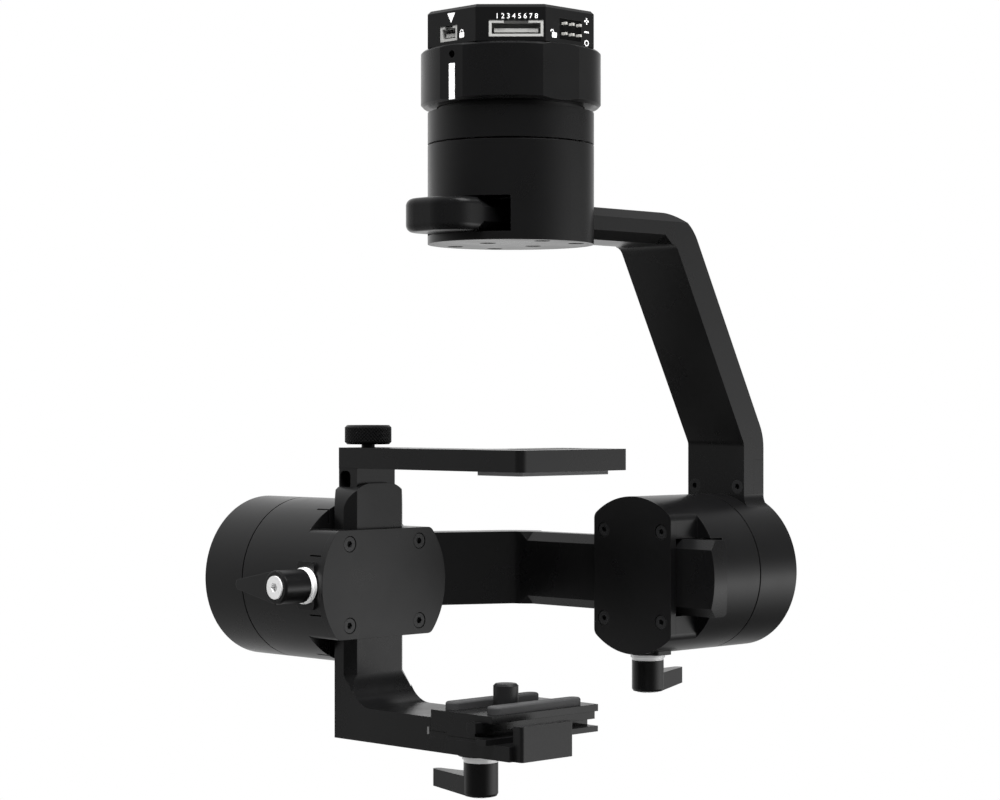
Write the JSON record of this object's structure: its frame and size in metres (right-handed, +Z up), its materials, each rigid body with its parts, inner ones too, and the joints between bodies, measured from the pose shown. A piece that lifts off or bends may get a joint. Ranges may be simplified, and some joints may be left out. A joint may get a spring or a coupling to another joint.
{
  "type": "three-axis camera gimbal",
  "caption": "Hanging camera stabiliser: yaw motor under an octagonal cap, bent arms to a roll and a tilt motor, and an adjustable clamp frame for a small camera.",
  "frame": {"origin": "centre of the cap's top face, on the yaw axis", "axes": "+Z up along the yaw axis, -Y the way the camera looks (the roll axis is parallel to Y), +X from the tilt motor to the camera (the tilt axis is parallel to X)"},
  "size_m": [0.1049, 0.1394, 0.1928],
  "materials": {
    "black_anodised": "black anodised, satin",
    "black_bar": "black anodised, fine satin",
    "black_lever": "black anodised, semi-gloss",
    "black_screw": "black oxide",
    "bright_steel": "bright zinc plated",
    "white_plastic": "moulded, semi-gloss",
    "white_ink": "filled engraving",
    "black_plastic": "moulded, matt",
    "gold_pins": "gold plated",
    "circuit_board": "solder mask",
    "rubber": "matt",
    "stator_steel": "laminated steel",
    "copper_wire": "enamelled copper wire",
    "magnet": "nickel plated"
  },
  "bodies": {
    "base": {"cap": "black_anodised", "cap_sockets": "white_plastic", "pin_header": "black_plastic", "header_pins": "gold_pins", "controller_board": "circuit_board", "yaw_stator_housing": "black_anodised", "yaw_stator_core": "stator_steel", "yaw_coils": "copper_wire", "yaw_bearings": "bright_steel", "yaw_encoder_board": "circuit_board"},
    "ring": {"lock_ring": "black_anodised", "ring_mark": "white_ink"},
    "yaw": {"yaw_housing": "black_anodised", "yaw_magnets": "magnet", "yaw_shaft": "bright_steel", "yaw_cover": "black_anodised", "yaw_cover_screws": "black_screw", "yaw_arm": "black_bar", "yaw_arm_screws": "black_screw", "roll_rear_housing": "black_anodised", "roll_stator_core": "stator_steel", "roll_coils": "copper_wire", "roll_bearings": "bright_steel", "roll_encoder_board": "circuit_board"},
    "roll": {"roll_housing": "black_anodised", "roll_magnets": "magnet", "roll_shaft": "bright_steel", "roll_plate": "black_anodised", "roll_plate_screws": "black_screw"},
    "roll_clamp": {"roll_lever": "black_lever", "roll_lever_hardware": "bright_steel"},
    "roll_bar": {"roll_arm": "black_bar", "roll_arm_screws": "black_screw", "tilt_rear_housing": "black_anodised", "tilt_stator_core": "stator_steel", "tilt_coils": "copper_wire", "tilt_bearings": "bright_steel", "tilt_encoder_board": "circuit_board"},
    "tilt": {"tilt_housing": "black_anodised", "tilt_magnets": "magnet", "tilt_shaft": "bright_steel", "tilt_plate": "black_anodised", "tilt_plate_screws": "black_screw"},
    "tilt_clamp": {"tilt_lever": "black_lever", "tilt_lever_hardware": "bright_steel"},
    "cage": {"cage_arm": "black_bar", "index_mark": "white_ink", "end_cover": "black_plastic", "motion_sensor_board": "circuit_board", "plate_base": "black_bar", "clamp_nut": "black_bar"},
    "platform_clamp": {"platform_lever": "black_lever", "platform_lever_hardware": "bright_steel"},
    "top": {"top_post": "black_bar", "top_brace": "black_bar", "brace_pad": "rubber"},
    "thumb": {"thumb_screw": "black_lever"},
    "plate": {"camera_plate": "black_bar", "plate_ribs": "rubber"},
    "camera_stud": {"camera_screw": "black_screw"}
  },
  "joints": [
    {"name": "ring_turn", "type": "hinge", "parent": "base", "child": "ring", "pos_m": [0, 0, -0.0161], "axis": [0, 0, 1], "range_deg": [0, 61]},
    {"name": "yaw_turn", "type": "hinge", "parent": "base", "child": "yaw", "pos_m": [0, 0, -0.0327], "axis": [0, 0, 1], "range_deg": [-330, 330]},
    {"name": "roll_turn", "type": "hinge", "parent": "yaw", "child": "roll", "pos_m": [0, 0.0727, -0.1426], "axis": [0, 1, 0], "range_deg": [-45, 45]},
    {"name": "roll_lever_turn", "type": "hinge", "parent": "roll", "child": "roll_clamp", "pos_m": [0, 0.05135, -0.1637], "axis": [0, 0, -1], "range_deg": [-90, 90]},
    {"name": "roll_bar_slide", "type": "slide", "parent": "roll", "child": "roll_bar", "axis": [1, 0, 0], "range_m": [-0.012, 0.012]},
    {"name": "tilt_turn", "type": "hinge", "parent": "roll_bar", "child": "tilt", "pos_m": [-0.0568, -0.0195, -0.1426], "axis": [1, 0, 0], "range_deg": [-120, 45]},
    {"name": "tilt_lever_turn", "type": "hinge", "parent": "tilt", "child": "tilt_clamp", "pos_m": [-0.03175, -0.0406, -0.1426], "axis": [0, -1, 0], "range_deg": [-90, 90]},
    {"name": "cage_slide", "type": "slide", "parent": "tilt", "child": "cage", "axis": [0, 0, 1], "range_m": [-0.01, 0.008]},
    {"name": "platform_lever_turn", "type": "hinge", "parent": "cage", "child": "platform_clamp", "pos_m": [0.0093, -0.0195, -0.1828], "axis": [0, 0, -1], "range_deg": [-90, 90]},
    {"name": "top_slide", "type": "slide", "parent": "cage", "child": "top", "axis": [0, 0, 1], "range_m": [-0.0035, 0.01]},
    {"name": "thumb_turn", "type": "hinge", "parent": "top", "child": "thumb", "pos_m": [-0.032, -0.0195, -0.1076], "axis": [0, 0, 1], "continuous": true},
    {"name": "plate_slide", "type": "slide", "parent": "cage", "child": "plate", "axis": [0, 1, 0], "range_m": [-0.0055, 0.0055]},
    {"name": "camera_stud_turn", "type": "hinge", "parent": "plate", "child": "camera_stud", "pos_m": [0.01275, -0.0144, -0.1706], "axis": [0, 0, 1], "continuous": true}
  ]
}
